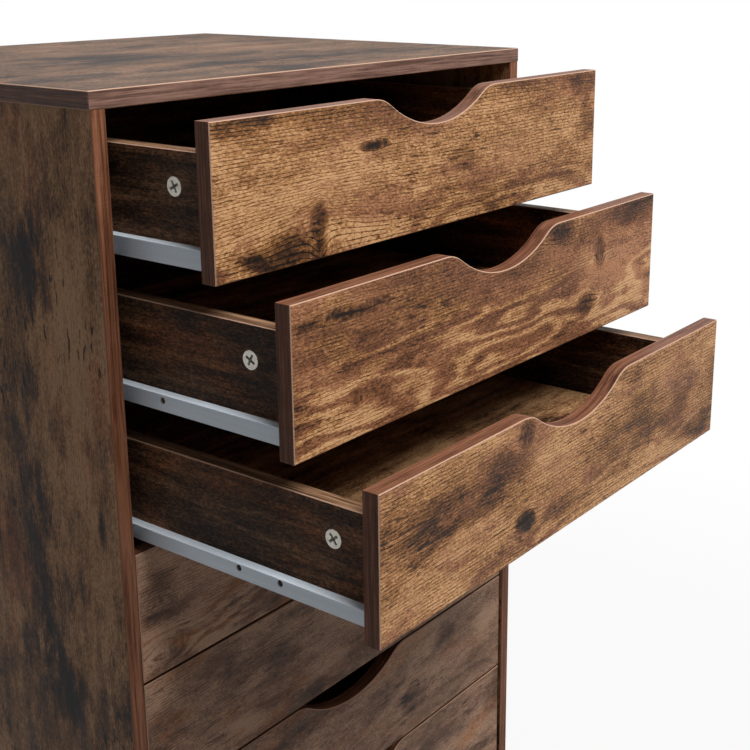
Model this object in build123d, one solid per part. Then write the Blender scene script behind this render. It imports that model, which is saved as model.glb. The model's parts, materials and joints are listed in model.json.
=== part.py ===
from build123d import *
from math import atan2, cos, degrees, pi, sin
import os

# Carcass boards
cabinet_width = 480
cabinet_depth = 400
carcass_board = 12
top_overhang = 1
back_thickness = 3
back_inset = 8
groove_depth = 5
groove_play = 0.2
edge_bevel = 0.6

# Drawer fronts, inset between the side panels
drawer_count = 7
front_height = 98
front_board = 12
front_gap = 2
front_recess = 2
scoop_width = 144
scoop_depth = 22.5
scoop_shoulder_share = 0.24

# How far the faces of the open drawers stand in front of the cabinet, from the top drawer down
first_reach = 88
second_reach = 147.5
third_reach = 211

# Drawer boxes
drawer_board = 12
drawer_length = 350
drawer_bottom_board = 3
side_drop = 20.5
bottom_lift = 8

# Roller runners of folded sheet steel
slide_clearance = 12.5
sheet = 1
runner_lift = 4.5
runner_height = 15
runner_ledge = 7
runner_foot = 10
runner_tab = 5
runner_hole_radius = 2.3
runner_hole_start = 76
runner_hole_step = 36
ledge_gap = 0.5
track_gap = 1
track_lip = 1.5
track_setback = 3

# Rollers of the runners
roller_radius = 6.5
roller_width = 5.6
roller_hub_radius = 3
roller_play = 0.1
roller_headroom = 0.3
roller_side_play = 0.4
roller_inset = 12

# Cam nuts that pull the boards together
cam_radius = 6.5
cam_play = 0.05
cam_skin = 2.5
cam_setback = 32
cam_drop = 43.5
panel_cam_inset = 110

# Swivel casters
caster_height = 62
caster_inset = 50
caster_trail = 18
wheel_radius = 25
wheel_width = 17
wheel_crown = 2
hub_radius = 9
rim_radius = 17
rim_recess = 3.5
axle_radius = 4
axle_head_radius = 6.5
axle_head = 3
running_gap = 0.3
running_play = 0.05
fork_sheet = 2
fork_wheel_gap = 1.5
fork_top_sheet = 3
fork_length = 28
fork_corner = 6
fork_boss_radius = 8
stem_flange = 4
stem_flange_radius = 11
stem_thread_radius = 4
stem_pin_radius = 5
stem_head_radius = 8
stem_head = 2
insert_radius = 6
insert_skin = 1
insert_play = 0.05
thread_play = 0.05

# Sides of the round pieces, which are many and so are cut flat-sided
wheel_sides = 24
round_sides = 12
small_sides = 8
hex_sides = 6

# One overrun for every cut
overrun = 1

# Planes that several pieces share
side_outer_x = cabinet_width / 2 - top_overhang
side_inner_x = side_outer_x - carcass_board
front_half = side_inner_x - front_gap
box_half = side_inner_x - slide_clearance
box_inner = box_half - drawer_board
front_y = -(cabinet_depth - third_reach) / 2
rear_y = front_y + cabinet_depth
back_y = rear_y - back_inset
closed_y = front_y + front_recess + front_board
floor_top = caster_height + carcass_board
front_pitch = front_height + front_gap
top_under = floor_top + front_gap + drawer_count * front_pitch
cabinet_height = top_under + carcass_board
back_slot = (back_y - back_thickness - groove_play, back_y)

# Heights within one drawer, from the lower edge of its front
side_low = runner_lift + sheet
side_high = front_height - side_drop
bottom_low = side_low + bottom_lift
bottom_high = bottom_low + drawer_bottom_board
bottom_slot = (bottom_low, bottom_high + groove_play)
cam_height = front_height - cam_drop

# Heights within one runner, from its underside, and places across it, from the cabinet wall
roller_height = runner_height - sheet - roller_play - roller_radius
track_height = roller_height - roller_radius - roller_play
cover_height = roller_height + roller_radius + roller_headroom
track_width = slide_clearance - sheet - track_gap
cover_width = slide_clearance - runner_ledge - ledge_gap
roller_far = track_width - sheet - roller_side_play
roller_near = roller_far - roller_width

# Heights within one caster, and half its width over the legs
insert_length = carcass_board - insert_skin
fork_top = caster_height - stem_flange - running_gap
fork_under = fork_top - fork_top_sheet
fork_half = wheel_width / 2 + fork_wheel_gap + fork_sheet


def slab(x, y, z):
    """A board between its low and high limits along each axis."""
    size = [high - low for low, high in (x, y, z)]
    centre = [(high + low) / 2 for low, high in (x, y, z)]
    return Pos(*centre) * Box(*size)


def rod(start, along, radius, length, sides=round_sides):
    """A round bar with flat sides, from its start point along a direction."""
    return extrude(Plane(origin=start, z_dir=along) * RegularPolygon(radius, sides), length)


def folded(section, length):
    """A strip of sheet with an (x, z) section, run along +Y."""
    return extrude(Plane.XZ * make_face(Polyline(*section, close=True)), amount=length, dir=(0, 1, 0))


def both_sides(piece):
    """A left piece and its mirror image on the right."""
    return [piece, mirror(piece, about=Plane.YZ)]


def save(node, pieces):
    """Writes one node, with each of its pieces as a solid of its own."""
    solids = [solid for piece in pieces for solid in piece.solids()]
    export_step(Compound(children=solids), f"parts/{node}.step")


# Carcass

def top_panel():
    """The top board, with a groove below for the back panel."""
    half = cabinet_width / 2
    board = slab((-half, half), (front_y, rear_y), (top_under, cabinet_height))
    board = chamfer(board.edges(), edge_bevel)
    groove_half = side_inner_x + groove_depth
    groove_z = (top_under - overrun, top_under + groove_depth)
    return board - slab((-groove_half, groove_half), back_slot, groove_z)


def panel_cams(radius):
    """Bars of one radius at the cams of the left side: two up in the side panel, two in the bottom panel."""
    depth = carcass_board - cam_skin
    cams = []
    for y in (front_y + panel_cam_inset, rear_y - panel_cam_inset):
        cams.append(rod((-side_inner_x, y, top_under - cam_setback), (-1, 0, 0), radius, depth))
        cams.append(rod((-side_inner_x + cam_setback, y, caster_height), (0, 0, 1), radius, depth))
    return cams


def left_side_panel():
    """A side board with its cam pockets and the groove of the back panel."""
    board = slab((-side_outer_x, -side_inner_x), (front_y, rear_y), (caster_height, top_under))
    board = chamfer(board.edges().filter_by(Axis.Z), edge_bevel)
    groove_x = (-side_inner_x - groove_depth, -side_inner_x + overrun)
    groove = slab(groove_x, back_slot, (caster_height - overrun, top_under + overrun))
    return board - groove - panel_cams(cam_radius + cam_play)


def bottom_panel():
    """The board between the side panels, with cam pockets below and holes for the caster inserts."""
    depth = (front_y, back_y - back_thickness)
    board = slab((-side_inner_x, side_inner_x), depth, (caster_height, floor_top))
    for cam in panel_cams(cam_radius + cam_play):
        board = board - both_sides(cam)
    drill = insert_radius + insert_play
    return board - [rod((x, y, caster_height), (0, 0, 1), drill, insert_length) for x, y in caster_places()]


def back_panel():
    """The thin board that stands in the grooves of the side panels and the top."""
    half = side_inner_x + groove_depth - groove_play
    depth = (back_y - back_thickness, back_y)
    return slab((-half, half), depth, (caster_height, top_under + groove_depth - groove_play))


# Drawers: x from the middle, y from the back of the front board, z from its lower edge

def scoop_front():
    """The front board, with a finger scoop of three tangent arcs in its top edge."""
    half = scoop_width / 2
    arcs = (half**2 + scoop_depth**2) / (scoop_depth * 2)
    shoulder = arcs * scoop_shoulder_share
    bottom = arcs - shoulder
    lean = atan2(half, arcs - scoop_depth)
    turn = (bottom * sin(lean), front_height - scoop_depth + bottom * (1 - cos(lean)))
    crest = (half - shoulder * sin(lean / 2), front_height - shoulder * (1 - cos(lean / 2)))
    outline = [
        Polyline((-half, front_height), (-front_half, front_height), (-front_half, 0),
                 (front_half, 0), (front_half, front_height), (half, front_height)),
        ThreePointArc((half, front_height), crest, turn),
        ThreePointArc(turn, (0, front_height - scoop_depth), (-turn[0], turn[1])),
        ThreePointArc((-turn[0], turn[1]), (-crest[0], crest[1]), (-half, front_height)),
    ]
    board = extrude(Plane.XZ * make_face(outline), amount=front_board, dir=(0, -1, 0))
    board = chamfer(board.faces().sort_by(Axis.Y)[0].edges(), edge_bevel)
    groove_half = box_inner + groove_depth
    return board - slab((-groove_half, groove_half), (-groove_depth, overrun), bottom_slot)


def drawer_cam(radius):
    """A bar of one radius at the cam of the left side."""
    return rod((-box_half, cam_setback, cam_height), (1, 0, 0), radius, drawer_board - cam_skin)


def drawer_side():
    """The left side board, grooved for the bottom, with the pocket of its cam."""
    board = slab((-box_half, -box_inner), (0, drawer_length), (side_low, side_high))
    board = chamfer(board.edges().filter_by(Axis.Y).sort_by(Axis.Z)[-2:], edge_bevel)
    groove_x = (-box_inner - groove_depth, -box_inner + overrun)
    groove = slab(groove_x, (-overrun, drawer_length + overrun), bottom_slot)
    return board - groove - drawer_cam(cam_radius + cam_play)


def drawer_back():
    """The back board, which stands on the bottom between the sides."""
    depth = (drawer_length - drawer_board, drawer_length)
    board = slab((-box_inner, box_inner), depth, (bottom_high, side_high))
    return chamfer(board.edges().filter_by(Axis.X).sort_by(Axis.Z)[-2:], edge_bevel)


def drawer_bottom():
    """The thin bottom, held in the grooves of the front and the sides."""
    half = box_inner + groove_depth - groove_play
    return slab((-half, half), (groove_play - groove_depth, drawer_length), (bottom_low, bottom_high))


def drawer_runner():
    """The left drawer runner: a foot under the side, a web with holes, an outward ledge and an end tab."""
    inner, outer, rim = -box_half, -box_half - sheet, -box_half - runner_ledge
    foot = -box_half + runner_foot
    low, high = runner_lift, runner_lift + runner_height
    strip = folded([(foot, low), (outer, low), (outer, high - sheet), (rim, high - sheet),
                    (rim, high), (inner, high), (inner, low + sheet), (foot, low + sheet)], drawer_length)
    tab = slab((inner - runner_tab, outer), (0, sheet), (low + sheet, high - sheet))
    drills = [rod((outer - overrun, y, (low + high) / 2), (1, 0, 0), runner_hole_radius, sheet + overrun * 2,
                  small_sides)
              for y in (runner_hole_start, runner_hole_start + runner_hole_step)]
    return strip + tab - drills


def cabinet_runner():
    """The left cabinet runner: a C section with a lipped track below and a cover above."""
    wall = -side_inner_x
    track, cover = runner_lift + track_height, runner_lift + cover_height
    track_x, cover_x = wall + track_width, wall + cover_width
    low, high, lip = track - sheet, cover + sheet, track + track_lip
    strip = folded([(wall, low), (track_x, low), (track_x, lip), (track_x - sheet, lip),
                    (track_x - sheet, track), (wall + sheet, track), (wall + sheet, cover),
                    (cover_x, cover), (cover_x, high), (wall, high)], drawer_length - track_setback)
    return Pos(0, track_setback, 0) * strip


def roller(y, hub_from, hub_to):
    """A roller of the left runner, with its hub between two distances from the cabinet wall."""
    wall, z = -side_inner_x, runner_lift + roller_height
    tread = rod((wall + roller_near, y, z), (1, 0, 0), roller_radius, roller_width)
    return tread + rod((wall + hub_from, y, z), (1, 0, 0), roller_hub_radius, hub_to - hub_from, small_sides)


def cabinet_roller():
    """The roller at the front end of the left cabinet runner, which carries the drawer runner's ledge."""
    return roller(track_setback + roller_inset, sheet, roller_near)


def drawer_roller():
    """The roller at the rear end of the left drawer runner, which runs in the track."""
    return roller(drawer_length - roller_inset, roller_far, slide_clearance - sheet)


# Casters: x and y from the swivel axis

def caster_places():
    """Swivel axes of the casters: front left, front right, rear left, rear right."""
    x = side_outer_x - caster_inset
    return [(side * x, y) for y in (front_y + caster_inset, rear_y - caster_inset) for side in (-1, 1)]


def caster_stem():
    """The stem: a rivet head, the swivel pin, a flange and the thread that goes into the insert."""
    up = (0, 0, 1)
    head_top = fork_under - running_gap
    flange_low = fork_top + running_gap
    head = rod((0, 0, head_top - stem_head), up, stem_head_radius, stem_head)
    swivel_pin = rod((0, 0, head_top), up, stem_pin_radius, flange_low - head_top)
    flange = rod((0, 0, flange_low), up, stem_flange_radius, caster_height - flange_low)
    thread = rod((0, 0, caster_height), up, stem_thread_radius, insert_length, small_sides)
    return head + swivel_pin + flange + thread


def caster_insert():
    """The threaded insert in the bottom panel."""
    foot, up = (0, 0, caster_height), (0, 0, 1)
    thread = rod(foot, up, stem_thread_radius + thread_play, insert_length, small_sides)
    return rod(foot, up, insert_radius, insert_length) - thread


def caster_fork():
    """The folded fork: a top plate round the swivel pin and two legs that trail to the axle."""
    leg_half = fork_length / 2 - fork_corner
    axle = Pos(caster_trail, wheel_radius)
    boss = axle * RegularPolygon(fork_boss_radius, round_sides)
    leg = make_hull([Line((-leg_half, fork_top), (leg_half, fork_top)), *boss.edges()])
    leg = leg - axle * RegularPolygon(axle_radius + running_play, round_sides)
    leg_plane = Plane(origin=(-fork_half, 0, 0), x_dir=(0, 1, 0), z_dir=(1, 0, 0))
    legs = both_sides(extrude(leg_plane * leg, amount=fork_sheet))
    plate = chamfer(Rectangle(fork_half * 2, fork_length).vertices(), fork_corner)
    plate = plate - Circle(stem_pin_radius + running_play)
    return extrude(Pos(0, 0, fork_under) * plate, amount=fork_top_sheet) + legs


def caster_axle():
    """The axle bolt through the legs and the wheel, with a hexagon at each end."""
    y, z = caster_trail, wheel_radius
    axle = rod((-fork_half, y, z), (1, 0, 0), axle_radius, fork_half * 2)
    for x, outward in ((-fork_half, -1), (fork_half, 1)):
        axle = axle + rod((x, y, z), (outward, 0, 0), axle_head_radius, axle_head, hex_sides)
    return axle


def caster_wheel():
    """The wheel: a crowned tread on a recessed disc, with a hub and its bore."""
    across, half = (1, 0, 0), wheel_width / 2
    hub_half = fork_half - fork_sheet - running_gap
    sections = [(-half, wheel_radius - wheel_crown), (wheel_crown - half, wheel_radius),
                (half - wheel_crown, wheel_radius), (half, wheel_radius - wheel_crown)]
    flat_down = degrees(pi / wheel_sides)
    wheel = loft([Plane(origin=(x, 0, 0), z_dir=across)
                  * RegularPolygon(radius, wheel_sides, major_radius=False, rotation=flat_down)
                  for x, radius in sections], ruled=True)
    for start, inward in ((-half, 1), (half, -1)):
        wheel = wheel - rod((start, 0, 0), (inward, 0, 0), rim_radius, rim_recess)
    wheel = wheel + rod((-hub_half, 0, 0), across, hub_radius, hub_half * 2)
    bore = Plane(origin=(-hub_half, 0, 0), z_dir=across) * Circle(axle_radius + running_play)
    return Pos(0, caster_trail, wheel_radius) * (wheel - extrude(bore, hub_half * 2))


os.makedirs("parts", exist_ok=True)

save("top_panel", [top_panel()])
for side, panel in zip(("left", "right"), both_sides(left_side_panel())):
    save(f"{side}_side_panel", [panel])
save("bottom_panel", [bottom_panel()])
save("back_panel", [back_panel()])
save("panel_cams", [piece for cam in panel_cams(cam_radius) for piece in both_sides(cam)])

drawer = {
    "front": [scoop_front()],
    "sides": both_sides(drawer_side()),
    "back": [drawer_back()],
    "bottom": [drawer_bottom()],
    "runners": both_sides(drawer_runner()) + both_sides(drawer_roller()),
    "cams": both_sides(drawer_cam(cam_radius)),
}
reaches = (first_reach, second_reach, third_reach)
tracks, track_rollers = [], []
for place in range(drawer_count):
    drawer_z = floor_top + front_gap + (drawer_count - 1 - place) * front_pitch
    closed = Pos(0, closed_y, drawer_z)
    tracks += [closed * piece for piece in both_sides(cabinet_runner())]
    track_rollers += [closed * piece for piece in both_sides(cabinet_roller())]
    pull = reaches[place] + front_recess if place < len(reaches) else 0
    for name, pieces in drawer.items():
        save(f"drawer_{place + 1}_{name}", [Pos(0, -pull, 0) * closed * piece for piece in pieces])
save("cabinet_runners", tracks)
save("cabinet_rollers", track_rollers)

corners = ("front_left", "front_right", "rear_left", "rear_right")
swivels = [Pos(x, y, 0) for x, y in caster_places()]
save("caster_stems", [swivel * caster_stem() for swivel in swivels])
save("caster_inserts", [swivel * caster_insert() for swivel in swivels])
for corner, swivel in zip(corners, swivels):
    save(f"{corner}_caster_fork", [swivel * caster_fork(), swivel * caster_axle()])
    save(f"{corner}_caster_wheel", [swivel * caster_wheel()])
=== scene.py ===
import json
import math
from collections import namedtuple

import bmesh
import bpy
from mathutils import Matrix, Vector

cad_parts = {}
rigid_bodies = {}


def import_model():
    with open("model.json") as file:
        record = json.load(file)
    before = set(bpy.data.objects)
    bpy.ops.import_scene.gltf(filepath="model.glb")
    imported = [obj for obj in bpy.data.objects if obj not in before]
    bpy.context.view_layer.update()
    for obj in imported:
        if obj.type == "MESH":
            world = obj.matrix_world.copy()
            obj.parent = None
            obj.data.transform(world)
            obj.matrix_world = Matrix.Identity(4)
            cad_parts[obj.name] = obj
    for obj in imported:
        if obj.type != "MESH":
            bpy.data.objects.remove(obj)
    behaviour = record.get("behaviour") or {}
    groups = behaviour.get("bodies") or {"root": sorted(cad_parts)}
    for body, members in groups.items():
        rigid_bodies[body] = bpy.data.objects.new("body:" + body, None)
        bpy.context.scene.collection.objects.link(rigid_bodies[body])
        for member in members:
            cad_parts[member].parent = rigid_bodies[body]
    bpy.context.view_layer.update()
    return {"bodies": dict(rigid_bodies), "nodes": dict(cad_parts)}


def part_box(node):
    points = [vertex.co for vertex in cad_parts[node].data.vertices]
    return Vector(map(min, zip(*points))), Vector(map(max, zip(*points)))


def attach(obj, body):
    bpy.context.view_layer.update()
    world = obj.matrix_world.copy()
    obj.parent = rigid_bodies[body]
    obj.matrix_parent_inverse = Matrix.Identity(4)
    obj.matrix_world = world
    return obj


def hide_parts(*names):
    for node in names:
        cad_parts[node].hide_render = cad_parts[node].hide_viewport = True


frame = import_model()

mm = 0.001

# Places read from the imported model
nodes = frame["nodes"]
drawers = [body for body in frame["bodies"] if body.startswith("drawer_")]
casters = [body.removesuffix("_wheel") for body in frame["bodies"] if body.endswith("_caster_wheel")]
top_low, top_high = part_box("top_panel")
side_low, side_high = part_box("left_side_panel")
bottom_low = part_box("bottom_panel")[0]
box_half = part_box("drawer_1_sides")[1].x
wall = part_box("cabinet_runners")[1].x

# Runners of folded sheet steel, in mm from the back of a drawer's front board and its lower edge
sheet = 1
sheet_bend = 0.42
runner_low, runner_high = 4.5, 19.5
runner_ledge, runner_foot, runner_tab = 7, 10, 5
runner_length = 350
runner_hole_radius, runner_hole_sides = 2.3, 32
runner_holes = (76, 112)
single_hole_drawers = ("drawer_1", "drawer_2")
track_start = 3
track_width, track_height, track_lip = 10.5, 5.3, 1.5
cover_width, cover_height = 5, 18.7

# Rollers, in mm
roller_sizes = {"Radius": 6.5, "Width": 5.6, "Hub radius": 3, "Hub length": 2.4, "Sink": 0.8}
roller_face_share, rivet_share = 0.74, 0.9
roller_sides, hub_sides = 40, 24
roller_gap, roller_height = 3.5, 11.9
roller_rear, roller_front = 338, 15

# Cam nuts, in mm, with their turns in degrees
cam_sizes = {"Radius": 6.5, "Depth": 9.5, "Shoulder": 0.4,
             "Cross length": 8.2, "Cross width": 1.8, "Cross depth": 5}
pit_width_share, pit_depth_share = 0.85, 2.6
cam_sides, pit_sides = 48, 24
cam_setback, cam_height = 32, 54.5
cam_turns = (28, 62, 38, 8, 75, 30, 52)
panel_cam_inset, panel_cam_drop = 110, 32
bottom_cam_x = 195

# Casters, in mm
wheel_radius, wheel_sides = 25, 72
axle_trail = 18
fork_half, fork_sheet, fork_top, fork_plate = 12, 2, 57.7, 3
fork_length, fork_corner, fork_boss = 28, 6, 8
leg_edge, plate_edge = 0.5, 0.6
axle_head_sides = 6
# Half section of a wheel from its bore to its tread, as places along the axle and radii
wheel_section = [(9.7, 4.05), (9.7, 7.6), (8.4, 9.0), (5.0, 9.6), (5.0, 16.4), (6.2, 17.2), (8.2, 17.6),
                 (8.5, 18.4), (8.5, 22.4), (7.4, 24.3), (5.2, wheel_radius)]
# Section of an axle head, as places out from the fork and radii
axle_head_section = [(0, 0), (0, 6.5), (2.1, 6.5), (3, 5.2), (3, 0)]
# Section of a stem with its rivet head, pin, flange and thread, as heights above the floor and radii
stem_section = [(52.4, 0), (52.4, 6.4), (53.2, 8), (54.4, 8), (54.4, 5), (58, 5), (58, 9.6), (58.8, 11),
                (61.2, 11), (62, 10), (62, 4), (70.5, 4), (70.5, 0)]


class Value:
    """A number, vector or colour inside a node tree, whose operators add Math nodes."""

    def __init__(self, tree, socket):
        self.tree, self.socket = tree, socket

    def maths(self, operation, *terms):
        return self.tree.node("ShaderNodeMath", {"operation": operation}, dict(enumerate(terms)))

    def __add__(self, other):
        return self.maths("ADD", self, other)

    def __sub__(self, other):
        return self.maths("SUBTRACT", self, other)

    def __rsub__(self, other):
        return self.maths("SUBTRACT", other, self)

    def __mul__(self, other):
        return self.maths("MULTIPLY", self, other)

    def __truediv__(self, other):
        return self.maths("DIVIDE", self, other)

    def __rtruediv__(self, other):
        return self.maths("DIVIDE", other, self)

    def __abs__(self):
        return self.maths("ABSOLUTE", self)

    __radd__, __rmul__ = __add__, __mul__

    def larger(self, other):
        return self.maths("MAXIMUM", self, other)

    def wave(self):
        return self.maths("SINE", self)

    def fade(self, start, end):
        """Runs smoothly from 0 at start to 1 at end."""
        sockets = {"Value": self, "From Min": start, "From Max": end}
        return self.tree.node("ShaderNodeMapRange", {"interpolation_type": "SMOOTHSTEP"}, sockets)

    def parts(self, *outputs):
        """Other outputs of the node that this value comes from."""
        return [Value(self.tree, self.socket.node.outputs[name]) for name in outputs]


class Tree:
    """A node tree and the one method that adds nodes to it."""

    def __init__(self, tree):
        self.tree = tree
        self.tree.nodes.clear()

    def node(self, kind, settings=None, sockets=None, output=0):
        made = self.tree.nodes.new(kind)
        for name, value in (settings or {}).items():
            if name == "stops":
                for place, colour in value[1:-1]:
                    made.color_ramp.elements.new(place)
                for stop, (place, colour) in zip(made.color_ramp.elements, value):
                    stop.position, stop.color = place, (*colour, 1)
            else:
                setattr(made, name, value)
        for name, value in (sockets or {}).items():
            for single in value if isinstance(value, list) else [value]:
                if isinstance(single, Value):
                    self.tree.links.new(single.socket, made.inputs[name])
                else:
                    made.inputs[name].default_value = single
        return Value(self, made.outputs[output]) if made.outputs else made


class Finish(Tree):
    """A material under construction, with the place and facing of each point of the surface."""

    # Sockets of a Mix node that mixes colours
    mix_share, mix_first, mix_second, mix_result = 0, 6, 7, 2

    def __init__(self, name):
        self.material = bpy.data.materials.new(name)
        self.material.use_nodes = True
        super().__init__(self.material.node_tree)
        place = self.node("ShaderNodeTexCoord", output="Object")
        facing, = place.parts("Normal")
        self.place = self.axes(place)
        self.facing = {axis: abs(part) for axis, part in self.axes(facing).items()}

    def axes(self, vector):
        x = self.node("ShaderNodeSeparateXYZ", sockets={0: vector})
        return dict(zip("xyz", (x, *x.parts("Y", "Z"))))

    def noise(self, x, y, z, detail=2.0, roughness=0.5):
        """Soft noise from 0 to 1, with features about 1 apart."""
        point = self.node("ShaderNodeCombineXYZ", sockets={"X": x, "Y": y, "Z": z})
        sockets = {"Vector": point, "Scale": 1.0, "Detail": detail, "Roughness": roughness}
        return self.node("ShaderNodeTexNoise", sockets=sockets)

    def layer(self, layer, along, across, seed=0.0):
        """One layer of noise in a print."""
        return self.noise(along * layer.along, across * layer.across, seed + layer.start,
                          layer.detail, layer.roughness)

    def speckle(self, per_metre, detail=3.0):
        """Noise with as many features a metre in every direction."""
        return self.noise(*[part * per_metre for part in self.place.values()], detail)

    def streaks(self, along, across, detail=2.0):
        """Noise drawn out along y, with these features a metre along and across it."""
        return self.noise(self.place["x"] * across, self.place["y"] * along, self.place["z"] * across, detail)

    def ramp(self, value, stops):
        return self.node("ShaderNodeValToRGB", {"stops": stops}, {"Fac": value})

    def mix(self, share, first, second):
        first, second = [colour if isinstance(colour, Value) else (*colour, 1) for colour in (first, second)]
        sockets = {self.mix_share: share, self.mix_first: first, self.mix_second: second}
        return self.node("ShaderNodeMix", {"data_type": "RGBA"}, sockets, output=self.mix_result)

    def bump(self, height, depth):
        """A Normal for relief of a height from 0 to 1 over this depth."""
        return self.node("ShaderNodeBump", sockets={"Height": height, "Distance": depth, "Strength": 1.0})

    def surface(self, **sockets):
        """Ends the material in its shader."""
        named = {name.replace("_", " "): value for name, value in sockets.items()}
        shader = self.node("ShaderNodeBsdfPrincipled", sockets=named)
        self.node("ShaderNodeOutputMaterial", sockets={"Surface": shader})
        return self.material

    def coated(self, coat, tint, wear, relief):
        """Ends a plain finish, with noise for its tint, its wear and its relief."""
        return self.surface(Base_Color=self.ramp(tint, coat.tones), Metallic=coat.metallic,
                            Roughness=coat.rough + wear * coat.wear,
                            Normal=self.bump(relief, coat.relief * mm))


class Pattern(Tree):
    """A Geometry Nodes tree that repeats a small piece at points, each with its own turn."""

    def __init__(self, name, sizes):
        self.group = bpy.data.node_groups.new(name, "GeometryNodeTree")
        super().__init__(self.group)
        self.sizes = sizes
        sockets = self.group.interface
        sockets.new_socket("Geometry", in_out="OUTPUT", socket_type="NodeSocketGeometry")
        kinds = {"Points": "NodeSocketGeometry", "Finish": "NodeSocketMaterial"}
        kinds.update(dict.fromkeys(sizes, "NodeSocketFloat"))
        self.names = {socket: sockets.new_socket(socket, in_out="INPUT", socket_type=kind).identifier
                      for socket, kind in kinds.items()}
        first = self.node("NodeGroupInput")
        self.given = dict(zip(kinds, first.parts(*kinds)))

    def vector(self, x=0.0, y=0.0, z=0.0):
        return self.node("ShaderNodeCombineXYZ", sockets={"X": x, "Y": y, "Z": z})

    def drum(self, radius, depth, middle, sides):
        """A short cylinder whose middle is this far up the axis."""
        sockets = {"Vertices": sides, "Radius": radius, "Depth": depth}
        drum = self.node("GeometryNodeMeshCylinder", sockets=sockets)
        return self.moved(drum, self.vector(z=middle))

    def moved(self, shape, by):
        return self.node("GeometryNodeTransform", sockets={"Geometry": shape, "Translation": by})

    def joined(self, *shapes):
        return self.node("GeometryNodeJoinGeometry", sockets={"Geometry": list(shapes)})

    def united(self, *shapes):
        settings = {"operation": "UNION", "solver": "EXACT"}
        return self.node("GeometryNodeMeshBoolean", settings, {"Mesh 2": list(shapes)})

    def cut(self, shape, cutter):
        settings = {"operation": "DIFFERENCE", "solver": "EXACT"}
        return self.node("GeometryNodeMeshBoolean", settings, {"Mesh 1": shape, "Mesh 2": cutter})

    def repeat(self, shape):
        """Ends the tree with the shape at every point."""
        turn = self.node("GeometryNodeInputNamedAttribute", {"data_type": "FLOAT_VECTOR"}, {"Name": "turn"})
        sockets = {"Points": self.given["Points"], "Instance": shape, "Rotation": turn}
        copies = self.node("GeometryNodeInstanceOnPoints", sockets=sockets)
        plain = self.node("GeometryNodeRealizeInstances", sockets={"Geometry": copies})
        sockets = {"Geometry": plain, "Material": self.given["Finish"]}
        coated = self.node("GeometryNodeSetMaterial", sockets=sockets)
        self.node("NodeGroupOutput", sockets={"Geometry": coated})

    def mesh(self, name, places, finish):
        """The plain mesh of the copies at places, each a point and its turn."""
        points = bpy.data.meshes.new(name)
        points.from_pydata([point for point, turn in places], [], [])
        turns = points.attributes.new("turn", "FLOAT_VECTOR", "POINT")
        for value, (point, turn) in zip(turns.data, places):
            value.vector = turn
        carrier = bpy.data.objects.new(name, points)
        bpy.context.scene.collection.objects.link(carrier)
        modifier = carrier.modifiers.new("pattern", "NODES")
        modifier.node_group = self.group
        modifier[self.names["Finish"]] = finish
        for size, value in self.sizes.items():
            modifier[self.names[size]] = value * mm
        made = bpy.data.meshes.new_from_object(carrier.evaluated_get(bpy.context.evaluated_depsgraph_get()))
        bpy.data.objects.remove(carrier)
        made.name = name
        return made


# Printed wood

# How strong each part of a board's print is, and how high its flames reach in mm
Look = namedtuple("Look", "tone russet patches mottle streaks grit lines clouds cracks flames flame_top",
                  defaults=(0.0, 0.0, 0))

# A mark on a board: its middle and half sizes along and across the grain in mm, how far it pushes the
# grain aside as a share of its half height, and how dark it is, below 0 for a pale mark
Mark = namedtuple("Mark", "along across length height push dark")

# A layer of noise: its features a metre along and across the grain, where it starts, and how fine it is
Layer = namedtuple("Layer", "along across start detail roughness", defaults=(2.0, 0.5))

print_layers = {
    "smoke": Layer(26, 64, 3.1, 7, 0.72),
    "waver": Layer(5, 20, 0.0),
    "jitter": Layer(12, 70, 1.7, 3),
    "dashes": Layer(45, 330, 6.1, 4, 0.6),
    "grit": Layer(300, 720, 5.3, 4, 0.85),
    "streak": Layer(7, 110, 9.7, 7, 0.72),
    "mottle": Layer(15, 36, 7.9, 8, 0.72),
    "patch": Layer(5, 15, 8.9, 6, 0.6),
    "cloud": Layer(8, 19, 12.7, 8, 0.72),
    "russet": Layer(8, 22, 30.3, 8, 0.72),
    "flame": Layer(3.6, 17, 16.1, 3, 0.45),
    "crack_zone": Layer(9, 11, 21.3),
    "split": Layer(75, 330, 25.9, 2, 0.4),
}
band_line_layer, band_cloud_layer = Layer(14, 560, 2.5, 5, 0.75), Layer(30, 60, 7.5)
rub_layer = Layer(12, 160, 4.4, 3)

# How the layers act. A pair is where a fade starts and ends
noise_middle = 0.5
waver_depth = 5
saw_lines_per_metre, saw_jitter = 415, 12
saw_fade, dash_fade = (0.6, 1.0), (0.34, 0.54)
line_loss_in_russet = 0.5
cloud_fade = (0.48, 0.68)
flame_rings, flame_wander = 75, 10
flame_edge, flame_edge_rag = 25, 0.1
flame_russet_share = 0.9
crack_zone_fade, split_fade = (0.48, 0.6), (0.6, 0.66)
russet_fade, russet_reach = (0.6, 0.74), 0.3
mark_rim = 1.7
knot_rag, knot_core = 4.0, 0.0
smudge_rag, smudge_core = 6.0, -0.5
band_contrast, band_cloudiness, band_depth = 3.4, 0.5, 1.25
end_facing, face_facing, edge_facing = (0.4, 0.6), (0.9, 0.95), (0.3, 0.2)
rub_dullness, tone_gloss = 0.2, 0.08
print_relief = 0.16

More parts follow.
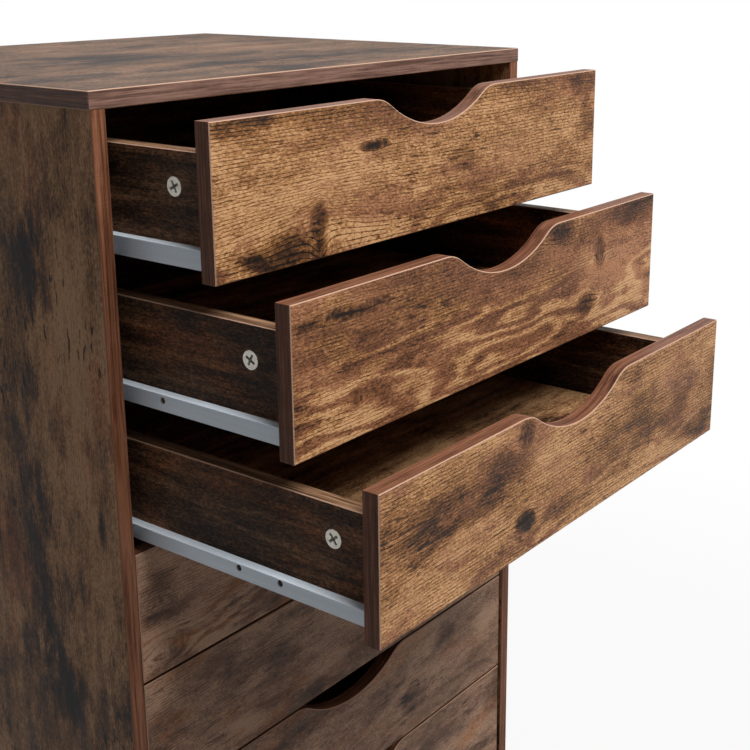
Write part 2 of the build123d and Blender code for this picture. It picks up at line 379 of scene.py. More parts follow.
golden_tones = [(0.0, (0.012, 0.007, 0.005)), (0.25, (0.070, 0.030, 0.013)), (0.5, (0.195, 0.083, 0.028)),
                (0.75, (0.365, 0.176, 0.070)), (1.0, (0.60, 0.345, 0.17))]
russet_tones = [(0.0, (0.012, 0.007, 0.005)), (0.25, (0.060, 0.025, 0.013)), (0.5, (0.145, 0.058, 0.027)),
                (0.75, (0.255, 0.108, 0.050)), (1.0, (0.42, 0.20, 0.098))]
brown_tones = [(0.0, (0.008, 0.006, 0.006)), (0.25, (0.042, 0.021, 0.012)), (0.5, (0.130, 0.064, 0.030)),
               (0.75, (0.25, 0.132, 0.064)), (1.0, (0.37, 0.215, 0.115))]
umber_tones = [(0.0, (0.008, 0.006, 0.006)), (0.25, (0.034, 0.019, 0.012)), (0.5, (0.090, 0.047, 0.026)),
               (0.75, (0.175, 0.095, 0.053)), (1.0, (0.28, 0.165, 0.095))]
lining_tones = [(0.0, (0.020, 0.010, 0.006)), (0.3, (0.120, 0.055, 0.025)), (0.6, (0.34, 0.17, 0.075)),
                (1.0, (0.66, 0.39, 0.19))]
# Darker, greyer tones for the shut fronts: painted shade, as all fronts share one print
shut_front_painted_shade_tones = [(0.0, (0.011, 0.007, 0.006)), (0.25, (0.058, 0.030, 0.019)), (0.5, (0.150, 0.080, 0.050)),
               (0.75, (0.275, 0.155, 0.098)), (1.0, (0.44, 0.27, 0.175))]
band_tones = [(0.0, (0.020, 0.007, 0.004)), (0.5, (0.090, 0.034, 0.018)), (1.0, (0.20, 0.085, 0.048))]
side_band_tones = [(0.0, (0.026, 0.009, 0.004)), (0.5, (0.115, 0.042, 0.020)), (1.0, (0.24, 0.10, 0.055))]
top_band_tones = [(0.0, (0.026, 0.011, 0.008)), (0.5, (0.115, 0.056, 0.039)), (1.0, (0.25, 0.14, 0.105))]
# Painted highlights on the bevels of board edges: a bright one, and a dim one for the side panels, which
# stand in shade
painted_bevel_highlight, dim_painted_bevel_highlight = (0.42, 0.26, 0.18), (0.13, 0.06, 0.035)


def marked(along, across, smoke, marks):
    """How dark the marks of a board are, and the place across the grain that they push aside."""
    dark = smoke * 0
    for mark in marks:
        a = (along - mark.along * mm) / (mark.length * mm)
        c = (across - mark.across * mm) / (mark.height * mm)
        away = a * a + c * c
        rag, core = (knot_rag, knot_core) if mark.push else (smudge_rag, smudge_core)
        dark = dark + (away + (noise_middle - smoke) * rag).fade(mark_rim, core) * mark.dark
        if mark.push:
            across = across - c * (mark.push * mark.height * mm) / (1 + away * away)
    return dark, across


def rustic_print(finish, along, across, seed, look, marks):
    """Tone and russet share, both from 0 to 1, of a board printed with rough sawn wood."""

    def noise(name, height):
        return finish.layer(print_layers[name], along, height, seed)

    smoke = noise("smoke", across)
    dark, grain = marked(along, across, smoke, marks)
    grain = grain + noise("waver", across) * (waver_depth * mm)
    jitter, mottle, patch = noise("jitter", across), noise("mottle", across), noise("patch", across)
    cloud, russet = noise("cloud", across), noise("russet", across)
    dashes, grit, streak = noise("dashes", grain), noise("grit", grain), noise("streak", grain)
    saw = (grain * (math.tau * saw_lines_per_metre) + jitter * saw_jitter).wave()
    shade = look.tone + (patch - noise_middle) * look.patches + (mottle - noise_middle) * look.mottle
    shade = shade + (streak - noise_middle) * look.streaks + (grit - noise_middle) * look.grit
    shade = shade - cloud.fade(*cloud_fade) * look.clouds - dark * (grit + noise_middle)
    if look.flames:
        rings = (noise("flame", grain) * flame_rings + mottle * flame_wander).wave()
        ragged = across + (mottle - noise_middle) * flame_edge_rag
        zone = ragged.fade(look.flame_top * mm, (look.flame_top - flame_edge) * mm)
        shade = shade + rings * zone * look.flames
        russet = russet - rings * zone * (look.flames * flame_russet_share)
    if look.cracks:
        near = noise("crack_zone", across).fade(*crack_zone_fade)
        split = noise("split", grain).fade(*split_fade)
        shade = shade - near * split * look.cracks
    russet = russet.fade(*[edge - look.russet * russet_reach for edge in russet_fade])
    lines = saw.fade(*saw_fade) * dashes.fade(*dash_fade) * (1 - russet * line_loss_in_russet)
    return shade - lines * look.lines, russet


def edge_band(finish, along, across, shade, tones):
    """The colour of an edge band with fine lines along it, darker by shade, which carries the painted shade
    of band ends.
    """
    lines = finish.layer(band_line_layer, along, across)
    cloud = finish.layer(band_cloud_layer, along, across)
    return finish.ramp(lines * band_contrast + cloud * band_cloudiness - band_depth - shade, tones)


def board(name, thin, grain, tones, seed, look, marks=(), origin=(0, 0), bands=band_tones,
          bevel=painted_bevel_highlight, painted_end_shade=0.25, shine=0.14, rough=0.4):
    """A board's finish: a print, with bands on the edges and a painted highlight line on the bevels unless
    bands is None; band ends that face along the grain get painted shade.
    """
    finish = Finish(name)
    cross = next(axis for axis in "xyz" if axis not in (thin, grain))
    along, across = [finish.place[axis] - start for axis, start in zip((grain, cross), origin)]
    tone, russet = rustic_print(finish, along, across, seed, look, marks)
    colour = finish.mix(russet, finish.ramp(tone, tones), finish.ramp(tone, russet_tones))
    if bands:
        ends = finish.facing[grain].fade(*end_facing)
        face = finish.facing[thin].fade(*face_facing)
        edge = finish.facing[thin].fade(*edge_facing)
        band_along = along * (1 - ends) + across * ends
        # Band ends that face along the grain are darkened: painted shade
        band = edge_band(finish, band_along, finish.place[thin], ends * painted_end_shade, bands)
        # The bevels between face and edge take the painted highlight colour
        colour = finish.mix(edge, finish.mix(face, bevel, colour), band)
    rub = finish.layer(rub_layer, along, across)
    return finish.surface(Base_Color=colour, Roughness=rough + rub * rub_dullness - tone * tone_gloss,
                          Normal=finish.bump(tone, print_relief * mm), Specular_IOR_Level=shine)


# Marks of the fronts, from the middle and up from the lower edge
front_marks = {
    "drawer_1": [Mark(-131, 4, 55, 28, 0.5, 0.0), Mark(-75, 67, 15, 4, 1.2, 1.0),
                 Mark(-131, 14, 8, 17, 0.45, 0.55), Mark(-166, 6, 34, 12, 0, 0.7),
                 Mark(-201, 92, 32, 10, 0, 0.4), Mark(-110, 100, 150, 28, 0, 0.22),
                 Mark(32, 47, 22, 10, 0, 0.34), Mark(160, 100, 90, 26, 0, 0.26),
                 Mark(195, 90, 24, 14, 0, 0.3), Mark(214, 55, 12, 16, 0, 0.3),
                 Mark(80, 12, 190, 20, 0, 0.12)],
    "drawer_2": [Mark(-172, 83, 44, 5, 0.8, 0.5), Mark(-168, 26, 6, 5, 1.0, 0.34),
                 Mark(118, 27, 15, 9, 0.8, 0.5), Mark(135, 64, 8, 13, 1.0, 0.5),
                 Mark(74, 90, 18, 10, 0.6, 0.45), Mark(190, 90, 40, 12, 0, 0.42),
                 Mark(-110, 75, 130, 34, 0, 0.2), Mark(40, 55, 60, 26, 0, 0.14),
                 Mark(180, 45, 70, 44, 0, -0.3)],
    "drawer_3": [Mark(-70, 86, 10, 11, 0.9, 0.45), Mark(-100, 70, 34, 14, 0, 0.5),
                 Mark(-69, 25, 12, 8, 0.7, 0.7), Mark(-190, 62, 44, 20, 0, 0.42),
                 Mark(-140, 55, 60, 12, 0, 0.3), Mark(-30, 15, 40, 12, 0, 0.3), Mark(82, 44, 46, 26, 0, 0.3),
                 Mark(160, 40, 28, 30, 0, 0.26), Mark(66, 86, 30, 12, 0, 0.36),
                 Mark(205, 12, 30, 12, 0, 0.45)],
    "drawer_4": [Mark(-203, 17, 24, 11, 1.2, 0.15), Mark(-204, 45, 28, 8, 0, 0.42),
                 Mark(-205, 68, 18, 10, 0, 0.42), Mark(-105, 12, 28, 18, 0, 0.36),
                 Mark(90, 60, 20, 6, 1.2, 0.32), Mark(60, 70, 150, 30, 0, 0.14)],
    "drawer_5": [Mark(-160, 84, 40, 16, 0, 0.34), Mark(-85, 40, 30, 20, 0, 0.34),
                 Mark(-62, 8, 22, 14, 0, 0.4), Mark(-209, 49, 22, 24, 0, 0.3),
                 Mark(-138, 10, 26, 14, 0, -0.25), Mark(40, 30, 18, 5, 1.2, 0.3),
                 Mark(150, 70, 44, 16, 0, 0.3)],
    "drawer_6": [Mark(132, 76, 16, 12, 0, 0.42), Mark(80, 36, 14, 14, 0, 0.45),
                 Mark(108, 76, 14, 9, 0, -0.2), Mark(204, 62, 22, 22, 0, -0.25),
                 Mark(170, 24, 40, 14, 0, 0.22), Mark(-120, 60, 18, 5, 1.2, 0.32),
                 Mark(-30, 20, 140, 22, 0, 0.14)],
    "drawer_7": [Mark(-60, 40, 20, 6, 1.3, 0.32), Mark(110, 70, 50, 14, 0, 0.35),
                 Mark(215, 68, 16, 20, 0, 0.35), Mark(180, 24, 16, 5, 1.0, 0.3),
                 Mark(-140, 80, 90, 20, 0, 0.18)],
}
plain_front = Look(tone=0.75, russet=0.3, patches=0.7, mottle=0.9, streaks=0.4, grit=2.3, lines=0.52,
                   clouds=0.24, cracks=0.3, flames=0.08, flame_top=40)
shut_front = plain_front._replace(tone=0.79, patches=0.9, mottle=1.2, grit=1.5, lines=0.34, clouds=0.4)
front_looks = {
    "drawer_1": plain_front._replace(tone=0.80, russet=0.45, clouds=0.2, flames=0.1),
    "drawer_2": plain_front._replace(tone=0.77, russet=0.74, flames=0.17, flame_top=66),
    "drawer_3": plain_front._replace(tone=0.82, russet=0.45, clouds=0.28),
    "drawer_4": shut_front._replace(tone=0.93, flames=0.16, flame_top=55),
    "drawer_5": shut_front._replace(tone=0.85),
}
# The open fronts take golden tones, the shut ones the darker tones of painted shade
golden_fronts = ("drawer_1", "drawer_2", "drawer_3")
front_seeds_per_metre = 31

# Marks of the side panels, down from the top and back from the front edge
side_marks_and_painted_shade = [(116, 70, 34, 26, 0, 0.4), (138, 100, 120, 40, 0, 0.26), (294, 18, 13, 4, 1.0, 0.4),
              (325, 105, 90, 34, 0, 0.44), (430, 70, 34, 18, 0, 0.4), (560, 210, 90, 40, 0, 0.3),
              # The last two marks are broad, a dark one low and a pale one high: painted shade towards the
              # bottom and painted light towards the top of the panel
              (455, 80, 70, 80, 0, 0.44), (660, 150, 130, 260, 0, 0.3), (60, 150, 160, 260, 0, -0.16)]
side_look = Look(tone=0.82, russet=0.3, patches=1.4, mottle=0.9, streaks=0.9, grit=2.0, lines=0.2,
                 clouds=0.55, cracks=0.7)
side_seeds = {"left": 3.0, "right": 9.0}
back_look = side_look._replace(cracks=0.0)
top_look = Look(tone=0.54, russet=0.1, patches=1.1, mottle=1.1, streaks=0.2, grit=2.0, lines=0.12,
                clouds=0.45, cracks=0.3)
box_look = Look(tone=0.33, russet=0.45, patches=0.8, mottle=1.1, streaks=1.8, grit=2.3, lines=0.1,
                clouds=0.25)
lining_look = Look(tone=0.66, russet=0.3, patches=1.2, mottle=2.2, streaks=1.6, grit=2.3, lines=0.1,
                   clouds=0.6)


def front_print(drawer):
    """The print of one drawer front, with its own knots and smudges."""
    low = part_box(f"{drawer}_front")[0]
    look = front_looks.get(drawer, shut_front)
    tones = golden_tones if drawer in golden_fronts else shut_front_painted_shade_tones
    seed = low.z * front_seeds_per_metre
    return board(f"{drawer}_front_print", thin="y", grain="x", tones=tones, seed=seed, look=look,
                 marks=front_marks[drawer], origin=(0, low.z), shine=0.1)


def side_print(side):
    """The print of a side panel, with upright grain, dark clouds and short splits, painted shade low down and
    painted light high up, and a dim painted highlight on its bevels.
    """
    marks = [Mark(-down, *rest) for down, *rest in side_marks_and_painted_shade]
    return board(f"{side}_side_print", thin="x", grain="z", tones=brown_tones, seed=side_seeds[side],
                 look=side_look, marks=marks, origin=(top_high.z, side_low.y), bands=side_band_tones,
                 bevel=dim_painted_bevel_highlight, shine=0.08)


# Metals, plastics and rubber

# A plain finish: its tones, its roughness and what wear adds to it, its relief in mm, and how metallic it is
Coat = namedtuple("Coat", "tones rough wear relief metallic", defaults=(0.0,))

paint_coat = Coat([(0.25, (0.64, 0.72, 0.80)), (0.75, (0.80, 0.87, 0.94))], rough=0.3, wear=0.14, relief=0.03)
zinc_coat = Coat([(0.3, (0.46, 0.44, 0.39)), (0.7, (0.72, 0.69, 0.62))], rough=0.42, wear=0.2, relief=0.04,
                 metallic=0.5)
nylon_coat = Coat([(0.3, (0.66, 0.65, 0.60)), (0.7, (0.76, 0.75, 0.71))], rough=0.38, wear=0.15, relief=0.02)
steel_coat = Coat([(0.3, (0.46, 0.46, 0.45)), (0.7, (0.64, 0.64, 0.63))], rough=0.26, wear=0.2, relief=0.02,
                  metallic=0.9)
rubber_coat = Coat([(0.35, (0.018, 0.018, 0.019)), (0.75, (0.06, 0.058, 0.055))], rough=0.5, wear=0.25,
                   relief=0.05)
streak_share, cast_share = 0.6, 0.3


def runner_paint():
    """Pale grey stoved paint on folded sheet steel."""
    finish = Finish("runner_paint")
    peel, streak = finish.speckle(per_metre=900), finish.streaks(along=14, across=300, detail=3)
    tint = streak * streak_share + peel * (1 - streak_share)
    return finish.coated(paint_coat, tint, wear=peel, relief=peel)


def cam_zinc():
    """Dull zinc die casting."""
    finish = Finish("cam_zinc")
    cast, cloud = finish.speckle(per_metre=2600), finish.speckle(per_metre=300)
    tint = cloud * (1 - cast_share) + cast * cast_share
    return finish.coated(zinc_coat, tint, wear=cast, relief=cast)


def roller_nylon():
    """Off-white nylon."""
    finish = Finish("roller_nylon")
    cloud = finish.speckle(per_metre=500)
    return finish.coated(nylon_coat, cloud, wear=cloud, relief=cloud)


def caster_steel():
    """Bright zinc plated steel."""
    finish = Finish("caster_steel")
    spangle, rolled = finish.speckle(per_metre=400, detail=4), finish.streaks(along=60, across=1500)
    return finish.coated(steel_coat, spangle, wear=spangle, relief=rolled)


def wheel_rubber():
    """Black moulded rubber with some dust on it."""
    finish = Finish("wheel_rubber")
    dust, pore = finish.speckle(per_metre=160, detail=5), finish.speckle(per_metre=2200)
    return finish.coated(rubber_coat, dust, wear=dust, relief=pore)


# Shapes, in mm

weld_distance = 0.001
flat_angle, sharp_angle, smooth_angle = [math.radians(angle) for angle in (1, 30, 34)]
edge_steps = 3


def hull(points):
    """The solid that wraps a set of points."""
    form = bmesh.new()
    for point in points:
        form.verts.new(point)
    bmesh.ops.convex_hull(form, input=form.verts)
    loose = [vert for vert in form.verts if not vert.link_faces]
    bmesh.ops.delete(form, geom=loose, context="VERTS")
    bmesh.ops.dissolve_limit(form, angle_limit=flat_angle, verts=form.verts, edges=form.edges)
    return form


def drawn(section, start, end):
    """A bar of one section, a list of x and z, from one y to another."""
    form = bmesh.new()
    face = form.faces.new([form.verts.new((x, start, z)) for x, z in section])
    grown = bmesh.ops.extrude_face_region(form, geom=[face])["geom"]
    ends = [part for part in grown if isinstance(part, bmesh.types.BMVert)]
    bmesh.ops.translate(form, verts=ends, vec=(0, end - start, 0))
    bmesh.ops.recalc_face_normals(form, faces=form.faces)
    return form


def turned(profile, axis="x", sides=48):
    """A ring or solid turned round an axis from places along it and radii."""
    form = bmesh.new()
    points = [form.verts.new((a, 0, r) if axis == "x" else (r, 0, a)) for a, r in profile]
    lines = [form.edges.new(pair) for pair in zip(points, points[1:] + points[:1])]
    bmesh.ops.spin(form, geom=points + lines, axis=(axis == "x", 0, axis == "z"), angle=math.tau, steps=sides)
    bmesh.ops.remove_doubles(form, verts=form.verts, dist=weld_distance)
    wires = [edge for edge in form.edges if edge.is_wire]
    bmesh.ops.delete(form, geom=wires, context="EDGES")
    bmesh.ops.recalc_face_normals(form, faces=form.faces)
    return form


def softened(form, width):
    """The form with its sharp edges rounded."""
    edges = [edge for edge in form.edges if edge.is_manifold and edge.calc_face_angle() > sharp_angle]
    bmesh.ops.bevel(form, geom=edges, offset=width, segments=edge_steps, profile=0.5, affect="EDGES",
                    clamp_overlap=True)
    return form


def shifted(form, place):
    bmesh.ops.translate(form, verts=form.verts, vec=place)
    return form


def mirrored(form):
    """A copy of the form on the other side of the middle plane."""
    copy = form.copy()
    bmesh.ops.scale(copy, verts=copy.verts, vec=(-1, 1, 1))
    bmesh.ops.reverse_faces(copy, faces=copy.faces)
    return copy


def mesh_of(name, forms):
    """One mesh of several forms, in metres."""
    whole, single = bmesh.new(), bpy.data.meshes.new("form")
    for form in forms:
        form.to_mesh(single)
        whole.from_mesh(single)
        form.free()
    bpy.data.meshes.remove(single)
    mesh = bpy.data.meshes.new(name)
    bmesh.ops.scale(whole, verts=whole.verts, vec=(mm, mm, mm))
    whole.to_mesh(mesh)
    whole.free()
    return mesh


def joined(name, meshes):
    """One mesh of several meshes."""
    whole, mesh = bmesh.new(), bpy.data.meshes.new(name)
    for part in meshes:
        whole.from_mesh(part)
    whole.to_mesh(mesh)
    whole.free()
    return mesh


def drilled(mesh, drills):
    """The mesh with holes, cut by another mesh."""
    block, tool = [bpy.data.objects.new(part.name, part) for part in (mesh, drills)]
    for made in (block, tool):
        bpy.context.scene.collection.objects.link(made)
    cut = block.modifiers.new("holes", "BOOLEAN")
    cut.object, cut.solver = tool, "EXACT"
    result = bpy.data.meshes.new_from_object(block.evaluated_get(bpy.context.evaluated_depsgraph_get()))
    for made in (block, tool):
        bpy.data.objects.remove(made)
    return result


def piece(name, mesh, body, slot, material, *replaced):
    """A finished mesh that rides on a body, in place of the CAD nodes that it stands for."""
    mesh.materials.clear()
    mesh.materials.append(material)
    mesh.shade_smooth()
    mesh.set_sharp_from_angle(angle=smooth_angle)
    made = bpy.data.objects.new(name, mesh)
    bpy.context.scene.collection.objects.link(made)
    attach(made, body)
    if replaced:
        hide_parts(*replaced)


def placed(mesh, name, place):
    """A copy of a mesh at a place."""
    copy = mesh.copy()
    copy.name = name
    copy.transform(Matrix.Translation(place))
    return copy


def dress(node, material):
    """Gives a CAD node its finish."""
    nodes[node].data.materials.clear()
    nodes[node].data.materials.append(material)


# Runners and rollers

def drawer_home(drawer):
    """The middle of the lower back edge of a drawer's front board."""
    low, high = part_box(f"{drawer}_front")
    return Vector((0, high.y, low.z))


def track_home(drawer):
    """The same point when the drawer is shut."""
    home = drawer_home(drawer)
    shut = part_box("cabinet_runners")[0].y - track_start * mm
    return Vector((0, shut, home.z))


def drawer_runner_pair(drawer):
    """Two folded drawer runners: a foot under the box side, a web with holes, a ledge and an end tab."""
    inner = -box_half / mm
    outer, rim, foot, end = inner - sheet, inner - runner_ledge, inner + runner_foot, inner - runner_tab
    low, high = runner_low, runner_high
    strip = drawn([(foot, low), (outer, low), (outer, high - sheet), (rim, high - sheet),
                   (rim, high), (inner, high), (inner, low + sheet), (foot, low + sheet)], 0, runner_length)
    tab = drawn([(end, low + sheet), (outer, low + sheet),
                 (outer, high - sheet), (end, high - sheet)], 0, sheet)
    softened(strip, sheet_bend)
    softened(tab, sheet_bend)
    reach, radius = sheet * 2, runner_hole_radius
    drill = [(-reach, 0), (-reach, radius), (reach, radius), (reach, 0)]
    places = runner_holes[1:] if drawer in single_hole_drawers else runner_holes
    holes = [shifted(turned(drill, sides=runner_hole_sides), (inner, y, (low + high) / 2)) for y in places]
    drills = mesh_of("drills", holes + [mirrored(hole) for hole in holes])
    strips = drilled(mesh_of("runner_strips", [strip, mirrored(strip)]), drills)
    return joined("drawer_runners", [strips, mesh_of("runner_tabs", [tab, mirrored(tab)])])


def cabinet_runner_pair():
    """Two folded cabinet runners: a wall, a lipped track below and a narrow cover above."""
    near = -wall / mm
    track_x, cover_x = near + track_width, near + cover_width
    low, high = track_height - sheet, cover_height + sheet
    strip = drawn([(near, low), (track_x, low), (track_x, track_height + track_lip),
                   (track_x - sheet, track_height + track_lip), (track_x - sheet, track_height),
                   (near + sheet, track_height), (near + sheet, cover_height), (cover_x, cover_height),
                   (cover_x, high), (near, high)], track_start, runner_length)
    softened(strip, sheet_bend)
    return mesh_of("cabinet_runners", [strip, mirrored(strip)])


def roller_pattern():
    """A roller with a sunk face, a hub towards its runner and a rivet head."""
    tree = Pattern("rollers", roller_sizes)
    radius, width, hub_radius, hub, sink = [tree.given[size] for size in roller_sizes]
    tread = tree.drum(radius, width, width / 2, roller_sides)
    face = tree.drum(radius * roller_face_share, sink * 2, width, roller_sides)
    stub = tree.drum(hub_radius, hub, hub / -2, hub_sides)
    head = tree.drum(hub_radius * rivet_share, sink, width - sink / 2, hub_sides)
    tree.repeat(tree.joined(tree.cut(tread, face), stub, head))
    return tree


def roller_places(home, y, near):
    """A roller on each side, with its hub towards the box or towards the cabinet wall."""
    turn = math.pi / 2 if near == "wall" else -math.pi / 2
    gap = roller_gap if near == "wall" else roller_gap + roller_sizes["Width"]
    place = Vector((wall - gap * mm, y * mm, roller_height * mm))
    left = Vector((-place.x, place.y, place.z))
    return [(home + left, (0, turn, 0)), (home + place, (0, -turn, 0))]


# Cam nuts

def cam_pattern():
    """A cam nut: a disc with a bevelled shoulder and a cross recess in its face."""
    tree = Pattern("cam_nuts", cam_sizes)
    radius, depth, shoulder, length, width, sink = [tree.given[size] for size in cam_sizes]
    disc = tree.drum(radius, depth - shoulder, (depth + shoulder) / -2, cam_sides)
    sockets = {"Vertices": cam_sides, "Radius Top": radius - shoulder, "Radius Bottom": radius,
               "Depth": shoulder}
    crown = tree.moved(tree.node("GeometryNodeMeshCone", sockets=sockets), tree.vector(z=shoulder * -1))
    bars = [tree.node("GeometryNodeMeshCube", sockets={"Size": tree.vector(*sides, sink * 2)})
            for sides in ((length, width), (width, length))]
    pit = tree.drum(width * pit_width_share, sink * pit_depth_share, 0.0, pit_sides)
    whole = tree.united(disc, crown)
    for tool in (*bars, pit):
        whole = tree.cut(whole, tool)
    tree.repeat(whole)
    return tree


def facing_out(x, y, z, side, turn):
    """A point on a side board and the turn that makes a cam's face look out of it."""
    about = Matrix.Rotation(math.radians(turn), 3, "X") @ Matrix.Rotation(side * math.pi / 2, 3, "Y")
    return Vector((side * x, y, z)), about.to_euler()


# Casters

def swivel_of(caster):
    """A caster's swivel axis on the floor."""
    low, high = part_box(f"{caster}_wheel")
    return Vector(((low.x + high.x) / 2, (low.y + high.y) / 2 - axle_trail * mm, 0))


def caster_wheel():
    """A wheel with a crowned tread, a sunk disc and a hub."""
    profile = wheel_section + [(-a, r) for a, r in reversed(wheel_section)]
    return shifted(turned(profile, sides=wheel_sides), (0, axle_trail, wheel_radius))


def circle(radius, y, z, count=36):
    turns = [math.tau * step / count for step in range(count)]
    return [(y + radius * math.cos(turn), z + radius * math.sin(turn)) for turn in turns]


def caster_fork():
    """A folded fork with its top plate, legs that trail to the axle, and the axle's heads."""
    corner_x, corner_y = fork_half - fork_corner, fork_length / 2 - fork_corner
    outline = circle(fork_boss, axle_trail, wheel_radius) + [(-corner_y, fork_top), (corner_y, fork_top)]
    forms = []
    for side in (-1, 1):
        faces = (side * fork_half, side * (fork_half - fork_sheet))
        forms.append(softened(hull([(x, y, z) for x in faces for y, z in outline]), leg_edge))
        head = turned(axle_head_section, sides=axle_head_sides)
        shifted(head, (fork_half, axle_trail, wheel_radius))
        forms.append(mirrored(head) if side < 0 else head)
    rounded = [(sx * corner_x + x, sy * corner_y + y) for sx in (-1, 1) for sy in (-1, 1)
               for x, y in circle(fork_corner, 0, 0)]
    plate = hull([(x, y, z) for z in (fork_top - fork_plate, fork_top) for x, y in rounded])
    forms.append(softened(plate, plate_edge))
    return forms


# Stage

frame_px = 750
focal_px = 1274.8
middle_px = (430, 306)
sensor_width = 36
# The camera from the front left corner of the top board
camera_place = Vector((-499.9, -629.9, 76.5)) * mm
camera_yaw, camera_pitch, camera_roll = 53.36, 15.21, -0.02
white = (1, 1, 1, 1)
room_light = 0.16
floor_half_width = 8.0
floor_grey = (0.25, 0.25, 0.25, 1)
floor_white_share = 0.93
# Squares of the distances in metres between which the floor turns white
floor_fade = (0.2, 1.8)
key_place, key_target = (0.15, -1.75, 3.2), (0.0, -0.15, 0.5)
key_size, key_watts = 2.0, 165


def stand_camera():
    """The photograph's camera."""
    data = bpy.data.cameras.new("camera")
    data.sensor_width = sensor_width
    data.lens = focal_px / frame_px * sensor_width
    data.shift_x = 0.5 - middle_px[0] / frame_px
    data.shift_y = middle_px[1] / frame_px - 0.5
    camera = bpy.data.objects.new("camera", data)
    bpy.context.scene.collection.objects.link(camera)
    turns = ((-camera_yaw, "Z"), (90 - camera_pitch, "X"), (camera_roll, "Z"))
    place = Matrix.Translation(Vector((top_low.x, top_low.y, top_high.z)) + camera_place)
    for angle, axis in turns:
        place = place @ Matrix.Rotation(math.radians(angle), 4, axis)
    camera.matrix_world = place
    bpy.context.scene.camera = camera


def softbox(name, place, target, size, watts):
    """A square lamp that faces a point."""
    data = bpy.data.lights.new(name, "AREA")
    data.shape, data.size, data.energy = "SQUARE", size, watts
    lamp = bpy.data.objects.new(name, data)
    turn = (Vector(target) - Vector(place)).to_track_quat("-Z", "Y")
    lamp.matrix_world = Matrix.Translation(place) @ turn.to_matrix().to_4x4()
    bpy.context.scene.collection.objects.link(lamp)


def seen_rays(tree):
    """1 for rays from the camera, a mirror or glass, and 0 for rays that light a surface."""
    seen = tree.node("ShaderNodeLightPath", output="Is Camera Ray")
    glossy, through = seen.parts("Is Glossy Ray", "Is Transmission Ray")
    return seen.larger(glossy).larger(through)


def white_room():
    """A world that looks white and lights softly."""
    world = bpy.data.worlds.new("room")
    world.use_nodes = True
    bpy.context.scene.world = world
    tree = Tree(world.node_tree)
    strength = seen_rays(tree) * (1 - room_light) + room_light
    light = tree.node("ShaderNodeBackground", sockets={"Color": white, "Strength": strength})
    tree.node("ShaderNodeOutputWorld", sockets={"Surface": light})


def pale_floor(half_width):
    """A plain pale floor that fades to white and keeps the shadow."""
    mesh = bpy.data.meshes.new("floor")
    form = bmesh.new()
    bmesh.ops.create_grid(form, size=half_width)
    form.to_mesh(mesh)
    form.free()
    floor = bpy.data.objects.new("floor", mesh)
    bpy.context.scene.collection.objects.link(floor)
    finish = Finish("floor")
    x, y = finish.place["x"], finish.place["y"]
    far = (x * x + y * y).fade(*floor_fade)
    share = seen_rays(finish) * (floor_white_share + far * (1 - floor_white_share))
    matt = finish.node("ShaderNodeBsdfDiffuse", sockets={"Color": floor_grey})
    bright = finish.node("ShaderNodeEmission", sockets={"Color": white, "Strength": 1.0})
    both = finish.node("ShaderNodeMixShader", sockets={0: share, 1: matt, 2: bright})
    finish.node("ShaderNodeOutputMaterial", sockets={"Surface": both})
    mesh.materials.append(finish.material)


# The chest's boards

for side in side_seeds:
    dress(f"{side}_side_panel", side_print(side))
# The top's end bands get twice the painted shade
dress("top_panel", board("top_print", thin="z", grain="x", tones=umber_tones, seed=5.5, look=top_look,
                         bands=top_band_tones, painted_end_shade=0.5, shine=0.26, rough=0.56))
dress("bottom_panel", board("floor_print", thin="z", grain="x", tones=brown_tones, seed=14.0, look=back_look))
dress("back_panel", board("back_print", thin="y", grain="z", tones=brown_tones, seed=17.0, look=back_look,
                          bands=None))
box_board = {"tones": umber_tones, "look": box_look, "bands": umber_tones, "shine": 0.06}
box_side = board("box_side_print", thin="x", grain="y", seed=21.0, **box_board)
box_back = board("box_back_print", thin="y", grain="x", seed=23.0, **box_board)
lining = board("box_bottom_print", thin="z", grain="x", tones=lining_tones, seed=25.0, look=lining_look,
               bands=None)
for drawer in drawers:
    dress(f"{drawer}_front", front_print(drawer))
    dress(f"{drawer}_sides", box_side)
    dress(f"{drawer}_back", box_back)
    dress(f"{drawer}_bottom", lining)

# The chest's fittings

paint, zinc, nylon, steel, rubber = runner_paint(), cam_zinc(), roller_nylon(), caster_steel(), wheel_rubber()
dress("caster_inserts", steel)

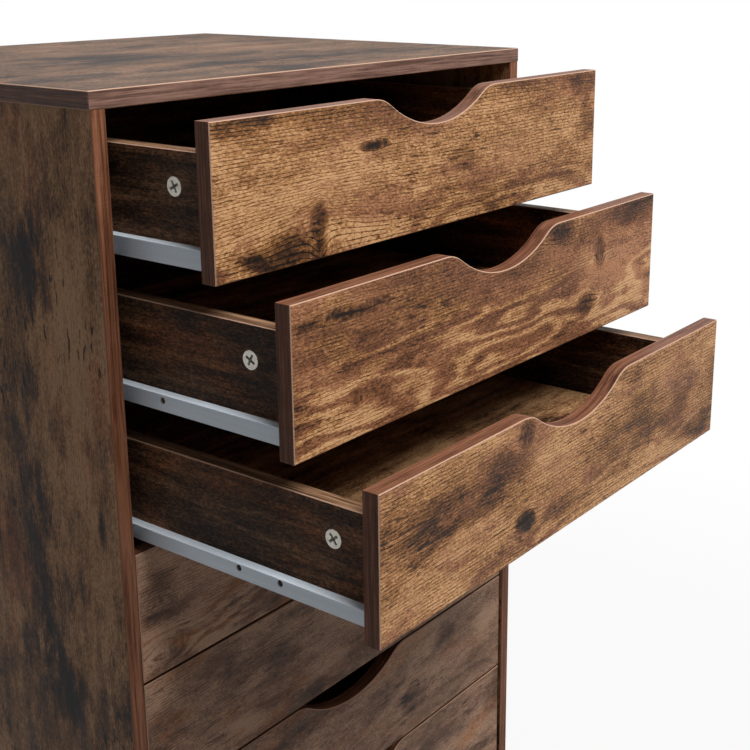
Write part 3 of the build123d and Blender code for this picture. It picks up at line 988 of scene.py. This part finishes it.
tracks = cabinet_runner_pair()
rollers, cams = roller_pattern(), cam_pattern()
all_tracks, wall_rollers = [], []
for drawer, turn in zip(drawers, cam_turns):
    home = drawer_home(drawer)
    name = f"{drawer}_runner_strips"
    strips = placed(drawer_runner_pair(drawer), name, home)
    piece(name, strips, drawer, "runner_paint", paint, f"{drawer}_runners")
    name = f"{drawer}_rollers"
    pair = rollers.mesh(name, roller_places(home, roller_rear, "box"), nylon)
    piece(name, pair, drawer, "roller_nylon", nylon)
    name = f"{drawer}_cam_nuts"
    cam_places = [facing_out(box_half, home.y + cam_setback * mm, home.z + cam_height * mm, side, turn * side)
                  for side in (-1, 1)]
    piece(name, cams.mesh(name, cam_places, zinc), drawer, "cam_zinc", zinc, f"{drawer}_cams")
    all_tracks.append(placed(tracks, "track", track_home(drawer)))
    wall_rollers += roller_places(track_home(drawer), roller_front, "wall")
piece("cabinet_runner_strips", joined("cabinet_runner_strips", all_tracks), "carcass", "runner_paint", paint,
      "cabinet_runners")
piece("cabinet_roller_set", rollers.mesh("cabinet_roller_set", wall_rollers, nylon), "carcass",
      "roller_nylon", nylon, "cabinet_rollers")

panel_cam_places = []
for y in (side_low.y + panel_cam_inset * mm, side_high.y - panel_cam_inset * mm):
    for side in (-1, 1):
        point = Vector((side * wall, y, side_high.z - panel_cam_drop * mm))
        panel_cam_places.append((point, (0, -side * math.pi / 2, 0)))
        panel_cam_places.append((Vector((side * bottom_cam_x * mm, y, bottom_low.z)), (math.pi, 0, 0)))
piece("panel_cam_nuts", cams.mesh("panel_cam_nuts", panel_cam_places, zinc), "carcass",
      "cam_zinc", zinc, "panel_cams")

wheel, fork = mesh_of("wheel", [caster_wheel()]), mesh_of("fork", caster_fork())
for caster in casters:
    place = swivel_of(caster)
    piece(f"{caster}_tyre", placed(wheel, f"{caster}_tyre", place), f"{caster}_wheel", "wheel_rubber", rubber,
          f"{caster}_wheel")
    piece(f"{caster}_horn", placed(fork, f"{caster}_horn", place), f"{caster}_fork", "caster_steel", steel,
          f"{caster}_fork")
stems = [shifted(turned(stem_section, "z"), swivel_of(caster) / mm) for caster in casters]
piece("caster_stem_set", mesh_of("caster_stem_set", stems), "carcass", "caster_steel", steel, "caster_stems")

bpy.context.scene.view_settings.view_transform = "Standard"
white_room()
pale_floor(floor_half_width)
softbox("key", key_place, key_target, key_size, key_watts)
stand_camera()
